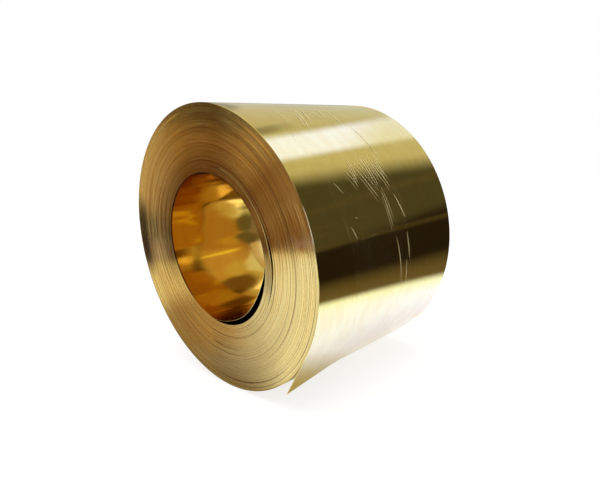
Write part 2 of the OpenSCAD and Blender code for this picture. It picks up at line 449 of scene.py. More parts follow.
def metal(name, tints, roughness, wave_height, wave_size):
    """Brass strip with hairlines along it and a slight waviness, on a UV map in metres. Sizes of a pattern are
    along the strip and across it."""
    material = bpy.data.materials.new(name)
    add = start_shader(material)
    metres = add("ShaderNodeUVMap", {"uv_map": "metres"})
    patterns = []
    for (along, across), detail, rough in ((HAIRLINE_SIZE, 3.0, 0.6), (wave_size, 1.0, 0.4), (TARNISH_SIZE, 4.0, 0.55)):
        counted = add("ShaderNodeMapping", {}, {"Vector": metres, "Scale": (1 / along, 1 / across, 1)})
        patterns.append(add("ShaderNodeTexNoise", FLAT_NOISE, {
            "Vector": counted, "Scale": 1.0, "Detail": detail, "Roughness": rough}))
    lines, waves, tarnish = patterns
    tint = between(add, *tints, tarnish, 0.40, 0.62)
    dull = add("ShaderNodeMapRange", SMOOTH, (lines, 0.30, 0.70, *roughness))
    wavy = add("ShaderNodeBump", {}, {"Height": waves.outputs["Fac"], "Distance": wave_height})
    lined = add("ShaderNodeBump", {}, {"Height": lines.outputs["Fac"], "Distance": HAIRLINE_HEIGHT, "Normal": wavy})
    shader = add("ShaderNodeBsdfPrincipled", {}, {
        "Base Color": tint, "Metallic": 1.0, "Roughness": dull, "Normal": lined})
    add("ShaderNodeOutputMaterial", {}, (shader,))
    return material


bright_brass = metal("brass_strip_bright_rolled", (linear("#edcb78"), linear("#ebc672")), (0.05, 0.11),
                     wave_height=0.10 * MM, wave_size=(300 * MM, 90 * MM))
# Painted shade: the brass of the bore and the slits has about 0.8 of the bright brass's tint
shaded_bore_brass = metal("brass_strip_inner_face_painted_shade", (linear("#d7b86d"), linear("#d5b368")), (0.05, 0.10),
                   wave_height=0.18 * MM, wave_size=(45 * MM, 600 * MM))
print("made", bright_brass.name, "and", shaded_bore_brass.name)

# %% [markdown]
# Slitting shears the edges of the strip: part of each edge is burnished by the knife and part of it
# is torn, and the corners are a little round. So an end of the coil is duller and browner than the
# sheet, but still bright enough to mirror the floor. What the eye sees on it are rings: turns lie in
# groups that lean a little, with darker lines between. The rings are noise read at the distance from
# the middle, which changes slowly round the coil. The grain is the torn metal, drawn at 1.2 mm
# because the real one, 0.1 mm, is too fine to show. All of it reads Object coordinates, because these
# edges are made without a UV map.

# %% Slit edge: where on the end, rings and grain
cut_brass = bpy.data.materials.new("brass_strip_slit_edge")
add = start_shader(cut_brass)
place = add("ShaderNodeTexCoord").outputs["Object"]
# The rings' middle lies between that of the bore and that of the outside
RINGS_Y, RINGS_Z = 2.5 * MM, 4.0 * MM
on_end = add("ShaderNodeMapping", {}, {
    "Vector": place, "Location": (0, -RINGS_Y, -MIDDLE_Z - RINGS_Z), "Scale": (0, 1, 1)})
from_middle = add("ShaderNodeVectorMath", "LENGTH", (on_end,))
outward = add("ShaderNodeVectorMath", "NORMALIZE", (on_end,))
from_bore = add("ShaderNodeMapping", {}, {
    "Vector": place, "Location": (0, -float(BORE_SHIFT[0]), -MIDDLE_Z - float(BORE_SHIFT[1])), "Scale": (0, 1, 1)})
from_bore = add("ShaderNodeVectorMath", "LENGTH", (from_bore,))


def rings(add, from_middle, outward, ring_width, change):
    """Noise in rings of about this width, which changes this much round the coil."""
    counted = add("ShaderNodeMath", "DIVIDE", (from_middle, ring_width))
    counted = add("ShaderNodeCombineXYZ", {}, (counted,))
    turning = add("ShaderNodeVectorMath", "MULTIPLY_ADD", (outward, (change, change, change), counted))
    return add("ShaderNodeTexNoise", {}, {"Vector": turning, "Scale": 1.0, "Detail": 2.0, "Roughness": 0.6})


ring_noise = partial(rings, add, from_middle, outward)
fine_rings, seams, broad_rings = ring_noise(1.7 * MM, 0.25), ring_noise(6 * MM, 0.2), ring_noise(15 * MM, 0.4)
GRAIN_SIZE = 1.2 * MM
grain = add("ShaderNodeTexNoise", {}, {"Vector": place, "Scale": 1 / GRAIN_SIZE, "Detail": 3.0, "Roughness": 0.6})
fine_rings, seams, broad_rings, grain = (noise.outputs["Fac"] for noise in (fine_rings, seams, broad_rings, grain))
print("rings and grain made for", cut_brass.name)

# %% [markdown]
# On a real end the tint changes from turn to turn and round the coil. A painted highlight brightens the
# outermost turns, except on the lower right. Painted shade darkens them at the left edge, and the turns
# inside the slit are darker on the right. The inner turns are browner, most on the upper left, and
# painted shade turns the two turns at the rim black. Each of these is a mask, made of a range of
# directions and a range of distances from the middle.

# %% Slit edge: tint, painted highlight and painted shade
UPPER_LEFT, UPPER_RIGHT = (0.0, 0.50, 0.87), (0.0, -0.74, 0.67)
LEFT, LOWER_RIGHT = (0.0, 1.0, 0.0), (0.0, -0.707, -0.707)
upper_left, upper_right, to_left, lower_right = (
    add("ShaderNodeVectorMath", "DOT_PRODUCT", (outward, direction))
    for direction in (UPPER_LEFT, UPPER_RIGHT, LEFT, LOWER_RIGHT))
tint = between(add, linear("#e0b566"), linear("#f0d28a"), grain, 0.36, 0.66)
tint = between(add, tint, linear("#a5742f"), fine_rings, 0.34, 0.48, (0.45, 0.0))
tint = between(add, tint, linear("#6b4a20"), seams, 0.33, 0.39, (0.55, 0.0))
# Each is a colour, then a direction and a distance, both with the range over which the tint comes or goes
# Three of these are painted light: a highlight on the outer turns, and shade at the left edge and at the rim
END_TINTS_AND_PAINTED_LIGHT = [
    ("#f8d990", lower_right, (0.3, 0.85, 1.0, 0.0), from_middle, (0.240, 0.262, 0.0, 0.6)),     # painted highlight on the outer turns
    ("#5e3f1c", to_left, (0.93, 0.99, 0.0, 0.80), from_middle, (0.238, 0.260, 0.0, 1.0)),       # painted shade at the left edge
    ("#5e4524", to_left, (-0.99, -0.90, 0.45, 0.0), from_middle, (0.166, 0.171, 1.0, 0.0)),     # inside the slit
    ("#8a5f2a", upper_left, (-0.25, 0.6, 0.0, 0.62), from_middle, (0.155, 0.222, 1.0, 0.0)),    # browner inner turns
    ("#24140a", upper_left, (-0.5, -0.1, 0.0, 1.0),
     from_bore, (BORE_R + 1.2 * MM, BORE_R + 2.4 * MM, 0.85, 0.0)),                             # painted shade at the bore's rim
]
for colour, direction, turn_range, distance, ring_range in END_TINTS_AND_PAINTED_LIGHT:
    mask = overlap(add, (direction, *turn_range), (distance, *ring_range))
    tint = add("ShaderNodeMix", COLOURS, (mask, tint, linear(colour)))
print(len(END_TINTS_AND_PAINTED_LIGHT), "tints laid over the turns")

# %% Slit edge: shine
# One turn leans inwards on the upper right, and catches the light
lean = overlap(add, (from_bore, 166.2 * MM, 168.8 * MM), (upper_right, 0.72, 0.88))
bumped = add("ShaderNodeBump", {}, {"Height": lean, "Distance": 0.7 * MM})
for height, distance in ((broad_rings, 0.12 * MM), (fine_rings, 0.010 * MM), (grain, 0.011 * MM)):
    bumped = add("ShaderNodeBump", {}, {"Height": height, "Distance": distance, "Normal": bumped})
dull = add("ShaderNodeMapRange", SMOOTH, (broad_rings, 0.3, 0.7, 0.10, 0.16))
shader = add("ShaderNodeBsdfPrincipled", {}, {
    "Base Color": tint, "Metallic": 1.0, "Roughness": dull, "Normal": bumped})
add("ShaderNodeOutputMaterial", {}, (shader,))
print("made", cut_brass.name)

# %% [markdown]
# The film is stretch wrap, a soft polyethylene that is blown very thin and pulled round the coil in
# several layers. It is clear, so most of its look is what lies under it: a little haze, a glossy skin
# and whiter streaks where it is stretched into folds. Real transmission would bend the view through
# walls that are far thinner in life, so the film is made see-through with alpha instead, which other
# programs also understand. The streaks are noise drawn out round the coil on the film's own UV map.

# %% Clear film
STREAK_SIZE = (110 * MM, 3.5 * MM)
STREAK_TURN = math.radians(2.0)


def film_material(name, alpha, colour):
    """Clear stretch wrap with whiter streaks that run round the coil. alpha is for the clearest part and for the
    streaks."""
    material = bpy.data.materials.new(name)
    add = start_shader(material)
    metres = add("ShaderNodeUVMap", {"uv_map": "metres"})
    counted = add("ShaderNodeMapping", {}, {
        "Vector": metres, "Rotation": (0, 0, STREAK_TURN), "Scale": (1 / STREAK_SIZE[0], 1 / STREAK_SIZE[1], 1)})
    streaks = add("ShaderNodeTexNoise", FLAT_NOISE, {
        "Vector": counted, "Scale": 1.0, "Detail": 4.0, "Roughness": 0.65})
    haze = add("ShaderNodeMapRange", SMOOTH, (streaks, 0.50, 0.78, *alpha))
    ribbed = add("ShaderNodeBump", {}, {"Height": streaks, "Distance": 0.25 * MM})
    shader = add("ShaderNodeBsdfPrincipled", {}, {
        "Base Color": linear(colour), "Roughness": 0.16, "IOR": 1.5, "Alpha": haze, "Normal": ribbed})
    add("ShaderNodeOutputMaterial", {}, (shader,))
    return material


clear_film = film_material("stretch_film_clear", (0.0005, 0.009), "#efe9d2")
folded_film = film_material("stretch_film_folded", (0.36, 0.80), "#f2e3ab")
rolled_film = film_material("stretch_film_rolled_edge", (0.01, 0.15), "#ecdfae")
print("made", clear_film.name, folded_film.name, rolled_film.name)

# %% [markdown]
# The whole coil follows one rule: strip wound on itself, one thickness further out each turn. Its
# turns are round a middle that moves, from the bore's middle inside to the outside's middle, because
# the coil has settled. Some turns have parted, which leaves slits: each is a window of angle in which
# all turns outside a radius are pushed out, and the push dies away further out. This cell holds the
# rule as plain functions, so that every piece takes its place from the same numbers.

# %% The winding rule
PUSH_REACH = 60 * MM
# Radius, middle and span in degrees, and widest opening of each slit between turns
SLITS = [
    (169.3 * MM, 172.0, 138.0, 1.1 * MM),
    (169.3 * MM, 178.0, 70.0, 3.9 * MM),
    (188.5 * MM, 171.0, 36.0, 1.2 * MM),
    (224.5 * MM, 167.0, 40.0, 1.0 * MM),
    (264.8 * MM, 252.0, 66.0, 1.6 * MM),
    (272.4 * MM, 222.0, 40.0, 0.7 * MM),
    (273.0 * MM, 292.0, 50.0, 0.7 * MM),
]


def wrap(angle):
    """The same angle between -180 and 180 degrees."""
    return (np.asarray(angle, float) + 180) % 360 - 180


def smooth(x):
    """A soft step from 0 to 1."""
    x = np.clip(x, 0, 1)
    return x * x * (3 - 2 * x)


def push(radius, angle):
    """How far the slits push a turn outwards at this radius and angle."""
    total = np.zeros(np.broadcast(radius, angle).shape)
    for at, middle, span, opening in SLITS:
        window = smooth(1 - np.abs(wrap(angle - middle)) / (span / 2))
        dies = np.clip(1 - (radius - at) / PUSH_REACH, 0, 1)
        total = total + np.where(radius > at, opening * window * dies, 0)
    return total


def on_coil(radius, angle):
    """The Y and Z of a point of the coil, from the middle of its outside."""
    middle = (OUTER_R - radius) / (OUTER_R - BORE_R)
    out = radius + push(radius, angle)
    a = np.radians(angle)
    return BORE_SHIFT[0] * middle + out * np.cos(a), BORE_SHIFT[1] * middle + out * np.sin(a)


def in_frame(x, y, z):
    """Corners in the row frame, from a distance to the near end and a place on the coil's section."""
    x, y, z = np.broadcast_arrays(x, y, z)
    return np.stack([NEAR_X + x, y, MIDDLE_Z + z], -1)


print(len(SLITS), "slits between turns")

# %% [markdown]
# Three pieces are thin sheets that follow a path: the sprung turn, the outermost turn and the film. A
# Solidify modifier could thicken a plain sheet, but it leaves square corners, and a strip's worn
# corners are what catches the light. So one function sweeps the sheet's whole section, corners and
# all, along its path. It also lays the UV map in metres that the hairlines and the film's streaks read.


# %% Mesh helpers
def clean(mesh):
    """Merges doubles and points every face outwards."""
    work = bmesh.new()
    work.from_mesh(mesh)
    bmesh.ops.remove_doubles(work, verts=work.verts, dist=1e-7)
    bmesh.ops.recalc_face_normals(work, faces=work.faces)
    work.to_mesh(mesh)
    work.free()


def shade(name, mesh, sharp):
    """Shades a mesh smooth up to an angle in degrees, and says how big it is."""
    mesh.shade_smooth()
    mesh.set_sharp_from_angle(angle=math.radians(sharp))
    print(f"{name}: {len(mesh.vertices)} corners, {len(mesh.polygons)} faces")


def finish_mesh(name, corners, faces, material, uv, full_turn=None):
    """Makes an object of quads with its UV map. On a full turn, the last face before the seam counts on from the
    one before it."""
    mesh = bpy.data.meshes.new(name)
    mesh.from_pydata([tuple(c) for c in corners], [], faces)
    loops = np.zeros(len(mesh.loops), np.int32)
    mesh.loops.foreach_get("vertex_index", loops)
    quads = uv[loops].reshape(-1, 4, 2)
    if full_turn:
        behind = quads[:, :, 0].max(1, keepdims=True) - quads[:, :, 0]
        quads[:, :, 0] += full_turn * (behind > full_turn / 2)
    mesh.uv_layers.new(name="metres").data.foreach_set("uv", quads.astype(np.float32).ravel())
    piece = bpy.data.objects.new(name, mesh)
    bpy.context.collection.objects.link(piece)
    mesh.materials.append(material)
    clean(mesh)
    shade(name, mesh, sharp=35)
    return piece


# %% A sheet with real thickness
def shell(name, place, rows, columns, thickness, material, edge=None, closed=False, corner=None):
    """A sheet with cut corners. place(row, column, depth) gives its points, and the first row is its near edge. The
    UV map counts metres along the columns and across the rows. edge is the material of its narrow sides."""
    corner = corner or min(0.18 * thickness, 0.2 * MM)
    rows, columns = np.asarray(rows, float), np.asarray(columns, float)
    n = len(rows)
    # The section runs up the near edge, along the outer face, down the far edge and back along the inner face
    section = ([(rows[0], thickness - corner), (rows[0], corner)] + [(r, 0.0) for r in rows]
               + [(rows[-1], corner), (rows[-1], thickness - corner)] + [(r, thickness) for r in rows[::-1]])
    nudge = [0, 0, corner] + [0] * (n - 2) + [-corner, 0, 0, -corner] + [0] * (n - 2) + [corner]
    corners = np.array([place(r, columns, d) + np.array([shift, 0, 0]) for (r, d), shift in zip(section, nudge)])
    count, length = corners.shape[:2]
    strips = length if closed else length - 1
    faces = [(i * length + k, i * length + (k + 1) % length,
              (i + 1) % count * length + (k + 1) % length, (i + 1) % count * length + k)
             for i in range(count) for k in range(strips)]
    if not closed:
        outer, inner = [2 + r for r in range(n)], [count - 1 - r for r in range(n)]
        cap = [(inner[r], inner[r + 1], outer[r + 1], outer[r]) for r in range(n - 1)]
        cap += [(0, inner[0], outer[0], 1), (inner[-1], n + 3, n + 2, outer[-1])]
        faces += [tuple(i * length for i in c) for c in cap]
        faces += [tuple(i * length + length - 1 for i in c[::-1]) for c in cap]
    middle_line = corners[2 + n // 2]
    along = np.concatenate([[0], np.cumsum(np.linalg.norm(np.diff(middle_line, axis=0), axis=1))])
    uv = np.stack([np.broadcast_to(along, (count, length)), corners[:, :, 0]], -1).reshape(-1, 2)
    full_turn = along[-1] + np.linalg.norm(middle_line[0] - middle_line[-1]) if closed else None
    piece = finish_mesh(name, corners.reshape(-1, 3), faces, material, uv, full_turn)
    if edge:
        piece.data.materials.append(edge)
        on_edge = np.zeros(len(faces), np.int32)
        for i in (0, n + 2):
            on_edge[i * strips:(i + 1) * strips] = 1
        on_edge[count * strips:] = 1
        piece.data.polygons.foreach_set("material_index", on_edge)
    return piece


# %% [markdown]
# The body of the coil is packed strip. Nothing shows of it but the wall of the bore and the walls of
# the slits, so it is made as a few solid rings, one between each slit and the next. They stop short
# of the two ends, where the edges of the turns are laid on them.

# %% Packed turns
END_DEPTH = 2.4 * MM
PARTED = 1e-6                           # how far the rings stay apart at a slit, so that they don't merge
beside_ends = [end + side for end in (OUTER_END, SPRUNG_TO) for side in (-0.1, 0.1)]
angles = np.unique(np.concatenate([np.arange(0, 360, 1.0), beside_ends]))


def spiral(angle, first_turn_from, radius):
    """Radius of one turn that starts at a radius and gains a pitch in the next 360 degrees."""
    return radius + PITCH * ((np.asarray(angle, float) - first_turn_from) % 360) / 360


walls = [spiral(angles, SPRUNG_TO, BORE_R + PITCH * (SPRUNG_TO - INNER_END) / 360)]
for level in sorted({slit[0] for slit in SLITS}):
    walls += [np.full(len(angles), level - PARTED), np.full(len(angles), level + PARTED)]
UNDER_LAST = 0.02 * MM                  # the pack stays this far below the outermost turn
walls.append(spiral(angles, OUTER_END, OUTER_R - STRIP_T - PITCH) - UNDER_LAST)
corners, faces, metres_uv = [], [], []
n = len(angles)
for inside, outside in zip(walls[::2], walls[1::2]):
    base = len(corners)
    for radius, x in ((inside, END_DEPTH), (outside, END_DEPTH),
                      (outside, COIL_L - END_DEPTH), (inside, COIL_L - END_DEPTH)):
        corners += list(in_frame(x, *on_coil(radius, angles)))
        metres_uv += [(math.radians((a - SPRUNG_TO) % 360) * BORE_R, x) for a in angles]
    for side in range(4):
        for k in range(n):
            m, s = (k + 1) % n, (side + 1) % 4
            faces.append((base + side * n + k, base + side * n + m, base + s * n + m, base + s * n + k))
pack = finish_mesh("packed_turns", corners, faces, shaded_bore_brass, np.array(metres_uv), 2 * math.pi * BORE_R)

# %% [markdown]
# The innermost turn was held by the mandrel. When that came out, its first third sprang inwards and
# left a crescent of dark behind it. The gap behind it was read from the photograph at a few angles,
# and a running mean rounds the bends between them, because springy strip has no kinks.

# %% Sprung inner turn
# Angle, and gap behind the sprung turn in mm
SPRUNG = np.array([(184, 1.6), (188, 2.6), (192, 4.4), (200, 8.3), (211, 11.2), (222, 11.7), (233, 10.8),
                   (244, 10.0), (254, 9.0), (267, 5.4), (277, 1.6), (285, 0.05), (290, 0.02)])
SPRUNG_STOP = 288.0
MEAN_HALF = 15                          # steps on each side that the running mean takes in
LEAST_GAP = 0.03
fine = np.linspace(INNER_END, SPRUNG_STOP, 260)
coarse = np.interp(fine, SPRUNG[:, 0], SPRUNG[:, 1])
padded = np.concatenate([2 * coarse[0] - coarse[MEAN_HALF:0:-1], coarse, np.full(MEAN_HALF, coarse[-1])])
weights = np.hanning(2 * MEAN_HALF + 1)
sprung_gap = np.maximum(np.convolve(padded, weights / weights.sum(), "valid"), LEAST_GAP) * MM


def sprung_place(row, angle, depth):
    gap = np.interp(angle, fine, sprung_gap)
    wall = BORE_R + PITCH * (1 + (angle - INNER_END) / 360)
    return in_frame(row, *on_coil(wall - gap - depth, angle))


SHEET_INSET = 0.3 * MM                  # the sheets' edges stay this far inside the ends
sprung_turn = shell("sprung_inner_turn", sprung_place, np.linspace(SHEET_INSET, COIL_L - SHEET_INSET, 30),
                    np.linspace(INNER_END, SPRUNG_STOP, 150), STRIP_T, shaded_bore_brass, cut_brass, corner=0.33 * MM)

# %% [markdown]
# The outermost turn is a sheet of its own, because its cut end stands off the coil. It stays on the
# round up to where it leaves it, and runs straight from there, as springy strip does. How much of it
# is loose changes across the width: most at the near corner, least under the film and at the far edge.

# %% Outermost turn with its loose end
# Distance from the near end, and length of strip that stands off the coil there, in mm
LOOSE = np.array([(0, 109), (20, 103.5), (40, 97.5), (60, 91), (80, 84.5), (100, 77), (120, 69), (150, 59),
                  (200, 58.5), (250, 56.5), (300, 53), (350, 45), (400, 35)])


def loose_length(x):
    return np.interp(x / MM, LOOSE[:, 0], LOOSE[:, 1]) * MM


def outer_place(row, back, depth):
    """back is the length of strip from here to the cut end."""
    loose = loose_length(row)
    held = np.degrees(np.maximum(back, loose) / OUTER_R)
    radius = OUTER_R - PITCH * held / 360 - depth
    a = np.radians(OUTER_END - held)
    free = np.maximum(loose - back, 0)
    return in_frame(row, radius * np.cos(a) - free * np.sin(a), radius * np.sin(a) + free * np.cos(a))


FINE_BACK = 0.13                        # stations lie closer over the last 130 mm of strip
FINE_ACROSS = 0.16                      # and over the first 160 mm from the near end
TURN_SHARE = 0.9985                     # the sheet starts just short of a whole turn, under its own cut end
whole_turn = 2 * math.pi * OUTER_R * TURN_SHARE
back_steps = np.concatenate([np.linspace(whole_turn, FINE_BACK, 380), np.linspace(FINE_BACK, 0, 60)[1:]])
across_steps = np.concatenate([np.linspace(SHEET_INSET, FINE_ACROSS, 26),
                               np.linspace(FINE_ACROSS, COIL_L - SHEET_INSET, 26)[1:]])
outer_turn = shell("outermost_turn", outer_place, across_steps, back_steps, STRIP_T, bright_brass, cut_brass,
                   corner=0.45 * MM)

# %% [markdown]
# The ends of the coil are the edges of 132 turns. Modelled by hand that would be 132 rings, and they
# would be wrong, because a wound strip is one spiral. Geometry Nodes have a spiral curve: it is moved
# to the settled middles, pushed out at the slits, and nudged along the axis so that turns stand proud
# or sit back as they do in a real coil. Then a small profile is swept along it. The tree works flat,
# in X and Y, and the last step stands it up against the end of the coil.

# %% Profile of one slit edge, with worn corners
EDGE_DEPTH = 2.2 * MM


def edge_profile(name, side):
    """The section of a turn's edge. side is 1 where the edge points to the near end and -1 for the far end."""
    half, crown, shoulder = 0.497 * STRIP_T, 0.42 * STRIP_T, 0.06 * MM
    points = [(-half, -EDGE_DEPTH), (-half, -shoulder), (-crown, 0), (crown, 0), (half, -shoulder),
              (half, -EDGE_DEPTH)]
    curve = bpy.data.curves.new(name, "CURVE")
    curve.dimensions = "3D"
    line = curve.splines.new("POLY")
    line.points.add(len(points) - 1)
    for point, (x, y) in zip(line.points, points):
        point.co = (x, y * side, 0, 1)
    line.use_cyclic_u = True
    return bpy.data.objects.new(name, curve)


# %% Start of a node tree
def start_tree(name, inputs, output, output_kind):
    """A new Geometry Nodes tree with named inputs. Returns it, its node adder, and the sockets of its inputs."""
    tree = bpy.data.node_groups.new(name, "GeometryNodeTree")
    for input_name, kind in inputs:
        tree.interface.new_socket(input_name, in_out="INPUT", socket_type=kind)
    tree.interface.new_socket(output, in_out="OUTPUT", socket_type=output_kind)
    add = partial(add_node, tree)
    return tree, add, add("NodeGroupInput").outputs


# %% Node group: the push of one slit
def slit_group():
    """Inputs are the angle and radius of a turn and the slit's sizes. The output is how far the turn is pushed."""
    inputs = [(name, "NodeSocketFloat") for name in (
        "Angle", "Radius", "Slit Radius", "Middle", "Span", "Opening", "Reach")]
    tree, add, given = start_tree("slit_push", inputs, "Push", "NodeSocketFloat")
    away = add("ShaderNodeMath", "SUBTRACT", (given["Angle"], given["Middle"]))
    away = add("ShaderNodeMath", "WRAP", (away, 180.0, -180.0))
    # The slit keeps between the same two turns, so its radius grows with the angle
    growth = add("ShaderNodeMath", "MULTIPLY", (away, PITCH / 360))
    at = add("ShaderNodeMath", "ADD", (given["Slit Radius"], growth))
    half = add("ShaderNodeMath", "MULTIPLY", (given["Span"], 0.5))
    off_middle = add("ShaderNodeMath", "ABSOLUTE", (away,))
    window = add("ShaderNodeMapRange", SMOOTH, (off_middle, half, 0.0))
    past = add("ShaderNodeMath", "SUBTRACT", (given["Radius"], at))
    dies = add("ShaderNodeMapRange", {}, (past, 0.0, given["Reach"], 1.0, 0.0))
    outside = add("ShaderNodeMath", "GREATER_THAN", (past, 0.0))
    push_out = given["Opening"]
    for factor in (window, dies, outside):
        push_out = add("ShaderNodeMath", "MULTIPLY", (push_out, factor))
    add("NodeGroupOutput", {}, {"Push": push_out})
    return tree


slit_push = slit_group()
print("node group", slit_push.name, "made")


# %% Node tree: how far each turn stands proud or sits back
def uneven_depth(add, given, radius, outward):
    """Depth of a turn's edge behind the end. Single turns sit back, and groups of turns drift."""
    SINGLE_RATE, GROUP_RATE, ROUND_RATE = 0.62, 0.085, 0.12     # how fast the noise changes per turn and round
    SINGLE_SHARE, GROUP_SHARE = 0.55, 0.45
    turn = add("ShaderNodeMath", "DIVIDE", (radius, STRIP_T))
    round_about = add("ShaderNodeVectorMath", "MULTIPLY", (outward, (ROUND_RATE, ROUND_RATE, 0.0)))
    round_x, round_y, _ = add("ShaderNodeSeparateXYZ", {}, (round_about,)).outputs
    depth = None
    for rate, detail, low, high, share in ((SINGLE_RATE, 1.0, 0.58, 0.63, SINGLE_SHARE),
                                           (GROUP_RATE, 2.0, 0.36, 0.64, GROUP_SHARE)):
        counted = add("ShaderNodeMath", "MULTIPLY", (turn, rate))
        at = add("ShaderNodeCombineXYZ", {}, (counted, round_x, round_y))
        noise = add("ShaderNodeTexNoise", {"noise_dimensions": "4D"}, {
            "Vector": at, "W": given["Seed"], "Scale": 1.0, "Detail": detail})
        back = add("ShaderNodeMapRange", {}, (noise, low, high))
        back = add("ShaderNodeMath", "MULTIPLY", (back, share))
        depth = add("ShaderNodeMath", "ADD", (depth, back)) if depth else back
    return add("ShaderNodeMath", "MULTIPLY", (depth, given["Unevenness"]))


# %% Node tree: the edges of all turns on one end
def turn_edges_tree():
    LEAST_DEPTH = 0.1 * MM
    inputs = [("Profile", "NodeSocketObject"), ("Material", "NodeSocketMaterial"), ("Points per Turn", "NodeSocketInt"),
              ("Bore Shift", "NodeSocketVector"), ("Place", "NodeSocketVector")]
    inputs += [(name, "NodeSocketFloat") for name in (
        "Turns", "First Radius", "Last Radius", "First Angle", "Bore Radius", "Outer Radius", "Side", "Unevenness",
        "Seed")]
    tree, add, given = start_tree("turn_edges", inputs, "Geometry", "NodeSocketGeometry")
    # A flat spiral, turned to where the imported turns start
    wound = add("GeometryNodeCurveSpiral", {}, {
        "Resolution": given["Points per Turn"], "Rotations": given["Turns"], "Start Radius": given["First Radius"],
        "End Radius": given["Last Radius"], "Height": 0.0, "Reverse": True})
    start = add("ShaderNodeMath", "RADIANS", (given["First Angle"],))
    start = add("ShaderNodeCombineXYZ", {}, {"Z": start})
    turned = add("GeometryNodeTransform", {}, {"Geometry": wound, "Rotation": start})
    position = add("GeometryNodeInputPosition")
    x, y, _ = add("ShaderNodeSeparateXYZ", {}, (position,)).outputs
    radius = add("ShaderNodeVectorMath", "LENGTH", (position,))
    angle = add("ShaderNodeMath", "DEGREES", (add("ShaderNodeMath", "ARCTAN2", (y, x)),))
    outward = add("ShaderNodeVectorMath", "NORMALIZE", (position,))
    # Pushed out at the slits
    total = 0.0
    for at, middle, span, opening in SLITS:
        one = add("GeometryNodeGroup", {"node_tree": slit_push}, {
            "Angle": angle, "Radius": radius, "Slit Radius": at, "Middle": middle, "Span": span,
            "Opening": opening, "Reach": PUSH_REACH})
        total = add("ShaderNodeMath", "ADD", (total, one))
    pushed = add("ShaderNodeVectorMath", "SCALE", (outward, total))
    # Moved to the settled middles
    build = add("ShaderNodeMath", "SUBTRACT", (given["Outer Radius"], given["Bore Radius"]))
    inside = add("ShaderNodeMath", "SUBTRACT", (given["Outer Radius"], radius))
    inside = add("ShaderNodeMath", "DIVIDE", (inside, build))
    settled = add("ShaderNodeVectorMath", "SCALE", (given["Bore Shift"], inside))
    # Nudged along the axis
    depth = add("ShaderNodeMath", "ADD", (uneven_depth(add, given, radius, outward), LEAST_DEPTH))
    height = add("ShaderNodeMath", "MULTIPLY", (depth, given["Side"]))
    offset = add("ShaderNodeVectorMath", "ADD", (pushed, settled))
    offset = add("ShaderNodeVectorMath", "ADD", (offset, add("ShaderNodeCombineXYZ", {}, {"Z": height})))
    laid = add("GeometryNodeSetPosition", {}, {"Geometry": turned, "Offset": offset})
    # Swept, and stood up against the end
    profile = add("GeometryNodeObjectInfo", {}, {"Object": given["Profile"]}).outputs["Geometry"]
    swept = add("GeometryNodeCurveToMesh", {}, {"Curve": laid, "Profile Curve": profile, "Fill Caps": True})
    stood = add("GeometryNodeTransform", {}, {
        "Geometry": swept, "Rotation": (math.radians(90), 0, math.radians(90)), "Translation": given["Place"]})
    real = add("GeometryNodeRealizeInstances", {}, (stood,))
    painted = add("GeometryNodeSetMaterial", {}, {"Geometry": real, "Material": given["Material"]})
    add("NodeGroupOutput", {}, {"Geometry": painted})
    return tree


turn_edges = turn_edges_tree()
print("node tree", turn_edges.name, "made")


# %% Make a piece with a node tree, then keep it as a plain mesh
def grown(name, tree, values, material, sharp):
    """Runs a node tree with these inputs and returns the result as a plain mesh object."""
    piece = bpy.data.objects.new(name, bpy.data.meshes.new(name))
    bpy.context.collection.objects.link(piece)
    modifier = piece.modifiers.new("made_by_nodes", "NODES")
    modifier.node_group = tree
    sockets = {item.name: item.identifier for item in tree.interface.items_tree if item.in_out == "INPUT"}
    for key, value in values.items():
        modifier[sockets[key]] = value
    bpy.context.view_layer.update()
    ready = piece.evaluated_get(bpy.context.evaluated_depsgraph_get())
    mesh = bpy.data.meshes.new_from_object(ready)
    piece.modifiers.remove(modifier)
    piece.data = mesh
    mesh.name = name
    mesh.materials.clear()
    mesh.materials.append(material)
    clean(mesh)
    shade(name, mesh, sharp)
    return piece


# %% Edges of the turns on both ends
edge_sizes = {
    "Material": cut_brass, "Turns": TURNS - 1 - (SPRUNG_TO - INNER_END) / 360, "Points per Turn": 100,
    "First Radius": BORE_R + PITCH * (SPRUNG_TO - INNER_END) / 360 + STRIP_T / 2,
    "Last Radius": OUTER_R - PITCH - STRIP_T / 2, "First Angle": SPRUNG_TO,
    "Bore Radius": BORE_R, "Outer Radius": OUTER_R, "Bore Shift": (*BORE_SHIFT, 0.0), "Unevenness": 1.2 * MM}
ends = {}
for name, side, x, seed in (("near_turn_edges", 1.0, NEAR_X, 3.0), ("far_turn_edges", -1.0, FAR_X, 11.0)):
    profile = edge_profile(name + "_profile", side)
    bpy.context.collection.objects.link(profile)
    values = edge_sizes | {"Profile": profile, "Place": (x, 0.0, MIDDLE_Z), "Side": side, "Seed": seed}
    ends[name] = grown(name, turn_edges, values, cut_brass, sharp=20)
    bpy.data.objects.remove(profile)
    xs = [v.co.x for v in ends[name].data.vertices]
    print(f"  {name} from {min(xs):.4f} to {max(xs):.4f}")

# %% [markdown]
# The film lies on the round of the coil and is stretched over the loose end, which lifts it off there
# in two straight stretches. So its section is the outline of a string pulled round the coil and the
# end of the sheet. Its two edges wander, and near the loose end the wrap has slipped away from the
# near end. The wander was read from the photograph, and on the hidden side it closes smoothly.

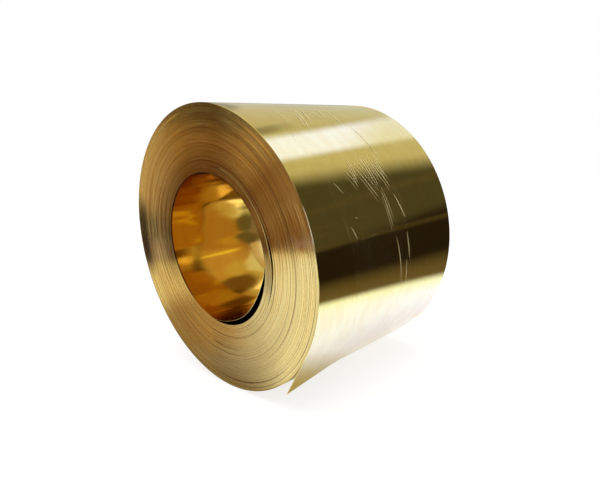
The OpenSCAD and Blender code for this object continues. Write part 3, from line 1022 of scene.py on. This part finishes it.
# %% Film band
# Angle, and distance of the film's two edges from the near end in mm
FILM_EDGES = np.array([
    (105, 80, 238), (118, 71, 240), (130, 63, 243), (142, 68, 243), (155, 74, 245), (164, 80, 249),
    (173, 88, 250), (182, 92, 258), (193, 98, 256), (208, 112, 262), (222, 140, 268), (238, 160, 275),
    (300, 150, 275), (400, 118, 255), (465, 80, 238)])
FILM_LIFT, FILM_T = 0.32 * MM, 0.14 * MM
FILM_OVER_END = 1.0 * MM                # the film clears the strip's cut end by this much
FILM_SEAM = 250
film_angles = np.arange(FILM_SEAM, FILM_SEAM + 360, 1.0)
first_edge_angle = FILM_EDGES[0, 0]
film_low, film_high = (
    np.interp((film_angles - first_edge_angle) % 360 + first_edge_angle, FILM_EDGES[:, 0], FILM_EDGES[:, i]) * MM
    for i in (1, 2))


def film_radius(angle, x):
    """Radius of a string pulled round the coil and the loose end at this distance from the near end."""
    loose = loose_length(x) + FILM_OVER_END
    leaves = OUTER_END - np.degrees(loose / OUTER_R)
    half = np.degrees(np.arctan(loose / OUTER_R))
    from_first = np.abs(wrap(angle - leaves))
    from_last = np.abs(wrap(angle - leaves - 2 * half))
    over = wrap(angle - leaves - half)
    stretched = 1 / np.cos(np.radians(np.minimum(np.minimum(from_first, from_last), half)))
    return (OUTER_R + FILM_LIFT + FILM_T) * np.where(np.abs(over) < half, stretched, 1.0)


def on_film(x, index, lift):
    """Points at a distance from the near end and a step round the coil, lifted this much off the film's face."""
    radius = film_radius(film_angles[index], x) + lift
    a = np.radians(film_angles[index])
    return in_frame(x, radius * np.cos(a), radius * np.sin(a))


def film_place(part, k, depth):
    """part goes from 0 at the film's near edge to 1 at its far edge, and k counts the steps round the coil."""
    index = k.astype(int)
    return on_film(film_low[index] + part * (film_high[index] - film_low[index]), index, -depth)


round_steps = np.arange(len(film_angles))
film = shell("clear_film", film_place, np.linspace(0, 1, 48), round_steps, FILM_T, clear_film, closed=True)

# %% Rolled edges of the film
HEM_WIDTH, HEM_T = 1.2 * MM, 0.10 * MM


def hem_place(edge, row, k, depth):
    """edge is the film's low or high edge, and row is a distance across the hem."""
    index = k.astype(int)
    return on_film(edge[index] + row, index, HEM_T - depth)


hems = [shell(name, partial(hem_place, edge), np.array([-0.5, 0, 0.5]) * HEM_WIDTH, round_steps, HEM_T,
              rolled_film, closed=True)
        for name, edge in (("film_near_hem", film_low), ("film_far_hem", film_high))]

# %% [markdown]
# Stretch wrap gathers into thin folds that run askew, and these are what the eye sees of it. Each is a
# tapered ridge of doubled film. They follow one rule, so Geometry Nodes make them: a strip is put on
# every mark, then bent round the film from the mark's own numbers, which say where the fold starts, how
# far it turns and drifts, and how wide it is. The visible ones were read from the photograph, and the
# rest, on the hidden side, are drawn at random in the same way.

# %% Marks for the folds
# Start and end of each fold: distance from the near end in mm, angle in degrees, and then its width in mm
CROWDED_FOLDS = [
    (144.7, 140.6, 146, 150, 1.6), (183, 139, 188, 149.8, 1.3), (189, 139.6, 197, 152.3, 1.6),
    (152, 142, 185, 156.5, 1.7), (203, 139.4, 211, 149.5, 1.6), (220, 137.8, 229, 149, 1.6),
    (211, 143, 228, 153, 2.0), (126, 144, 143, 151, 1.3), (198, 153.8, 206, 168.7, 1.4),
    (160, 108, 140, 119, 1.5), (128, 112, 118, 121, 1.2), (170, 139, 178, 146, 1.4)]
LONE_FOLDS = [
    (231, 156, 247, 166, 2.4), (211, 172.5, 231, 193.7, 1.6), (246, 172, 250, 183, 1.8), (241, 183, 247, 195, 1.6),
    (215, 185.8, 245, 185.9, 1.0), (132, 170, 156, 169.5, 0.9), (226, 108, 214, 121, 2.0),
    (147.5, 106, 114.6, 125.2, 1.8), (177, 105.8, 179, 117, 1.6), (95, 135.6, 102, 138.7, 1.3),
    (86.5, 148.4, 99, 153, 1.1), (92, 108.7, 86, 119.7, 1.3), (208, 105.5, 191, 115.7, 1.6),
    (109, 162.1, 113, 162.5, 2.2), (92, 165, 104, 170, 1.1), (232, 121, 238, 141, 2.0)]
# Each fold of the crowded groups has two finer ones beside it: how far both its ends move, and its share of width
BESIDE_A_FOLD = [(4.6, -1.8, 5.0, -2.6, 0.6), (-4.4, 2.2, -4.8, 1.6, 0.5)]
HIDDEN_FOLDS = 46
folds = CROWDED_FOLDS + LONE_FOLDS
for x1, a1, x2, a2, width_mm in CROWDED_FOLDS:
    for dx1, da1, dx2, da2, share in BESIDE_A_FOLD:
        folds.append((x1 + dx1, a1 + da1, x2 + dx2, a2 + da2, share * width_mm))
chance = np.random.default_rng(5)
for i in range(HIDDEN_FOLDS):
    start_x, start_angle, turns_by = chance.uniform(165, 225), chance.uniform(262, 440), chance.uniform(5, 22)
    folds.append((start_x, start_angle, start_x + chance.uniform(-22, 26), start_angle + turns_by,
                  chance.uniform(1.0, 2.2)))
folds = np.array(folds)
marks_mesh = bpy.data.meshes.new("fold_marks")
marks_mesh.from_pydata([(x * MM, angle, 0.0) for x, angle in folds[:, :2]], [], [])
for name, values in (("turns_by", folds[:, 3] - folds[:, 1]), ("drifts_by", (folds[:, 2] - folds[:, 0]) * MM),
                     ("fold_width", folds[:, 4] * MM)):
    attribute = marks_mesh.attributes.new(name, "FLOAT", "POINT")
    attribute.data.foreach_set("value", values.astype(np.float32))
marks = bpy.data.objects.new("fold_marks", marks_mesh)
bpy.context.collection.objects.link(marks)
print(len(folds), "folds marked")


# %% Node tree: folds bent round the film
def fold_tree():
    inputs = [("Marks", "NodeSocketObject"), ("Material", "NodeSocketMaterial")]
    inputs += [(name, "NodeSocketFloat") for name in ("Film Radius", "Height", "Sway", "Near End", "Middle Height")]
    tree, add, given = start_tree("film_folds", inputs, "Geometry", "NodeSocketGeometry")
    turns_by, drifts_by, fold_width = (
        add("GeometryNodeInputNamedAttribute", {"data_type": "FLOAT"}, {"Name": name})
        for name in ("turns_by", "drifts_by", "fold_width"))
    # One flat ridge on every mark. Each corner remembers its place in the ridge
    position = add("GeometryNodeInputPosition")
    ridge = add("GeometryNodeMeshCube", {}, {"Size": (1, 2, 1), "Vertices X": 24, "Vertices Y": 3, "Vertices Z": 2})
    ridge = add("GeometryNodeStoreNamedAttribute", {"data_type": "FLOAT_VECTOR", "domain": "POINT"},
                {"Geometry": ridge, "Name": "in_fold", "Value": position})
    points = add("GeometryNodeObjectInfo", {}, {"Object": given["Marks"]}).outputs["Geometry"]
    placed = add("GeometryNodeInstanceOnPoints", {}, {"Points": points, "Instance": ridge})
    real = add("GeometryNodeRealizeInstances", {}, (placed,))
    in_fold = add("GeometryNodeInputNamedAttribute", {"data_type": "FLOAT_VECTOR"}, {"Name": "in_fold"})
    start = add("ShaderNodeVectorMath", "SUBTRACT", (position, in_fold))
    start_x, start_angle, _ = add("ShaderNodeSeparateXYZ", {}, (start,)).outputs
    lengthwise, crosswise, upwards = add("ShaderNodeSeparateXYZ", {}, (in_fold,)).outputs
    along = add("ShaderNodeMath", "ADD", (lengthwise, 0.5))
    # It tapers at both ends, and sways a little
    taper = add("ShaderNodeMath", "MULTIPLY_ADD", (along, 0.96 * math.pi, 0.02 * math.pi))
    taper = add("ShaderNodeMath", "SINE", (taper,))
    taper = add("ShaderNodeMath", "POWER", (taper, 0.7))
    sway_at = add("ShaderNodeCombineXYZ", {}, (
        add("ShaderNodeMath", "MULTIPLY", (along, 2.5)), add("ShaderNodeMath", "MULTIPLY", (start_angle, 3.7))))
    sway = add("ShaderNodeTexNoise", FLAT_NOISE, {"Vector": sway_at, "Scale": 1.0, "Detail": 2.0})
    sway = add("ShaderNodeMath", "SUBTRACT", (sway, 0.5))
    aside = add("ShaderNodeMath", "MULTIPLY", (sway, given["Sway"]))
    # Distance from the near end
    half_width = add("ShaderNodeMath", "MULTIPLY", (fold_width, 0.5))
    half_width = add("ShaderNodeMath", "MULTIPLY", (half_width, taper))
    drifted = add("ShaderNodeMath", "MULTIPLY_ADD", (along, drifts_by, start_x))
    across = add("ShaderNodeMath", "MULTIPLY_ADD", (crosswise, half_width, aside))
    x = add("ShaderNodeMath", "ADD", (given["Near End"], add("ShaderNodeMath", "ADD", (drifted, across))))
    # Angle and radius: the ridge is rounded across, and as high as its taper
    angle = add("ShaderNodeMath", "MULTIPLY_ADD", (along, turns_by, start_angle))
    angle = add("ShaderNodeMath", "RADIANS", (angle,))
    rounded = add("ShaderNodeMath", "MULTIPLY", (crosswise, crosswise))
    rounded = add("ShaderNodeMath", "MULTIPLY_ADD", (rounded, -0.8, 1.0))
    lift = add("ShaderNodeMath", "ADD", (upwards, 0.5))
    for factor in (taper, rounded, given["Height"]):
        lift = add("ShaderNodeMath", "MULTIPLY", (lift, factor))
    radius = add("ShaderNodeMath", "ADD", (given["Film Radius"], lift))
    y = add("ShaderNodeMath", "MULTIPLY", (radius, add("ShaderNodeMath", "COSINE", (angle,))))
    z = add("ShaderNodeMath", "MULTIPLY_ADD", (
        radius, add("ShaderNodeMath", "SINE", (angle,)), given["Middle Height"]))
    bent = add("ShaderNodeCombineXYZ", {}, (x, y, z))
    laid = add("GeometryNodeSetPosition", {}, {"Geometry": real, "Position": bent})
    painted = add("GeometryNodeSetMaterial", {}, {"Geometry": laid, "Material": given["Material"]})
    add("NodeGroupOutput", {}, {"Geometry": painted})
    return tree


film_folds = grown("film_folds", fold_tree(), {
    "Marks": marks, "Material": folded_film, "Film Radius": OUTER_R + FILM_LIFT + FILM_T + 0.01 * MM,
    "Height": 0.19 * MM, "Sway": 2 * MM, "Near End": NEAR_X, "Middle Height": MIDDLE_Z}, folded_film, sharp=60)
bpy.data.objects.remove(marks)

# %% [markdown]
# All pieces ride on the one body, and together they stand for the two imported solids.

# %% Hand over
brass_pieces = [pack, sprung_turn, outer_turn, *ends.values()]
for piece in brass_pieces:
    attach(piece, "root")
    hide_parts("brass_strip_coil")
for piece in (film, *hems, film_folds):
    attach(piece, "root")
    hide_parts("clear_film_band")
